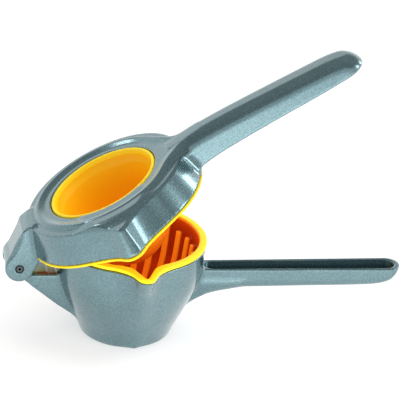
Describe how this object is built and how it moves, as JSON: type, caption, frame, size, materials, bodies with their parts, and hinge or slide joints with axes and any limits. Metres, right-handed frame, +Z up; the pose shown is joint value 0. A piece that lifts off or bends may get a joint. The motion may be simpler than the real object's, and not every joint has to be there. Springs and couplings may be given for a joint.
{
  "type": "hinged lemon squeezer",
  "caption": "Hinged lever squeezer: a cast cup with a spout and ribbed strainer, and a cast lid with a press bowl, each with a long handle.",
  "frame": {"origin": "centre of the cup's base, on the surface it stands on", "axes": "+X along the handles away from the hinge, -Y towards the pouring spout, +Z up"},
  "size_m": [0.2418, 0.1222, 0.1826],
  "materials": {
    "cup_metal": "grey metallic enamel on die-cast aluminium",
    "lid_metal": "grey metallic enamel on die-cast aluminium",
    "strainer_plastic": "moulded golden yellow",
    "press_plastic": "moulded golden yellow",
    "pin_steel": "drawn tube",
    "bush_plastic": "black nylon"
  },
  "bodies": {
    "base": {"cup_casting": "cup_metal", "strainer_insert": "strainer_plastic", "hinge_pin": "pin_steel"},
    "lid": {"lid_casting": "lid_metal", "press_insert": "press_plastic", "near_bush": "bush_plastic", "far_bush": "bush_plastic"}
  },
  "joints": [
    {"name": "lid_hinge", "type": "hinge", "parent": "base", "child": "lid", "pos_m": [-0.0663, 0, 0.0461], "axis": [0, -1, 0], "range_deg": [-29.4, 80]}
  ]
}
